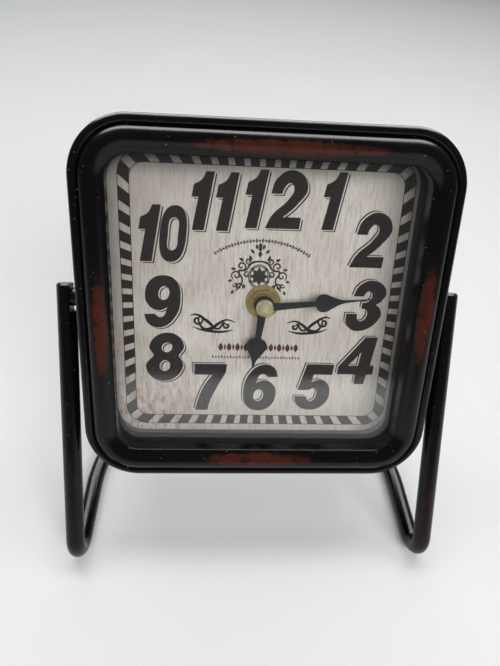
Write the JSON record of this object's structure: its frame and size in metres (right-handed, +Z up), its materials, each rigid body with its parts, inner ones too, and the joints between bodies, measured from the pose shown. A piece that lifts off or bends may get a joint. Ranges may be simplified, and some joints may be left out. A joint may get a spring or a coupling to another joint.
{
  "type": "table clock",
  "caption": "Table clock: rounded-square black metal case with a printed dial, tilting between the uprights of a bent round-rod stand.",
  "frame": {"origin": "on the floor plane, in the middle of the stand's width and depth", "axes": "+Z up, the dial faces -Y and leans back, +X to the viewer's right"},
  "size_m": [0.1656, 0.1218, 0.1799],
  "materials": {
    "black_enamel": "satin black enamel, rubbed through to red-brown on the edges",
    "plated_steel": "dull zinc plate",
    "nylon": "natural nylon",
    "clear_glass": "clear float glass",
    "grey_card": "grey card strip",
    "dial_paper": "printed paper, matt",
    "fibreboard": "hardboard",
    "movement_plastic": "fine textured black ABS",
    "brass": "bright brass",
    "white_plastic": "moulded acetal",
    "coil_wire": "enamelled copper wire",
    "board_green": "solder-masked board",
    "black_hand": "satin black",
    "cell_label": "printed sleeve"
  },
  "bodies": {
    "root": {"stand_rod": "black_enamel", "pivot_screws": "plated_steel", "spring_washers": "plated_steel", "pivot_sleeves": "black_enamel"},
    "case": {"pivot_bushes": "nylon", "case_drum": "black_enamel", "board_brackets": "plated_steel", "bezel": "black_enamel", "glass": "clear_glass", "spacer_frame": "grey_card", "dial_card": "dial_paper", "dial_board": "fibreboard", "back_plate": "black_enamel", "back_screws": "plated_steel", "movement_front": "movement_plastic", "movement_back": "movement_plastic", "threaded_bush": "brass", "dial_washer": "brass", "dial_nut": "brass", "train_plate": "white_plastic", "centre_wheel": "brass", "third_wheel": "white_plastic", "step_wheel": "white_plastic", "rotor": "plated_steel", "stator": "plated_steel", "coil": "coil_wire", "circuit_board": "board_green", "quartz_crystal": "plated_steel", "battery_contacts": "plated_steel"},
    "minute": {"minute_arbor": "plated_steel", "minute_hand": "black_hand", "cap_nut": "brass"},
    "hour": {"hour_wheel": "white_plastic", "hour_hand": "black_hand"},
    "minute_wheel": {"minute_wheel": "white_plastic"},
    "setting_knob": {"setting_gear": "white_plastic", "setting_knob": "movement_plastic"},
    "battery": {"battery": "cell_label"}
  },
  "joints": [
    {"name": "case_tilt", "type": "hinge", "parent": "root", "child": "case", "pos_m": [0, -0.00089, 0.11055], "axis": [1, 0, 0], "continuous": true},
    {"name": "minute_turn", "type": "hinge", "parent": "case", "child": "minute", "pos_m": [0.0012, 0.00495, 0.10575], "axis": [0, 0.9291, -0.3697], "continuous": true},
    {"name": "hour_turn", "type": "hinge", "parent": "case", "child": "hour", "pos_m": [0.0012, 0.00495, 0.10575], "axis": [0, 0.9291, -0.3697], "continuous": true},
    {"name": "minute_wheel_turn", "type": "hinge", "parent": "case", "child": "minute_wheel", "pos_m": [0.0012, 0.01593, 0.11172], "axis": [0, 0.9291, -0.3697], "continuous": true},
    {"name": "knob_turn", "type": "hinge", "parent": "case", "child": "setting_knob", "pos_m": [-0.00815, 0.01793, 0.11673], "axis": [0, 0.9291, -0.3697], "continuous": true},
    {"name": "battery_slide", "type": "slide", "parent": "case", "child": "battery", "axis": [0, 0.9291, -0.3697], "range_m": [0, 0.03]}
  ],
  "couplings": [
    {"joint": "minute_wheel_turn", "follows": "minute_turn", "ratio": -0.33333},
    {"joint": "hour_turn", "follows": "minute_turn", "ratio": 0.083333},
    {"joint": "knob_turn", "follows": "minute_turn", "ratio": 0.66667}
  ]
}
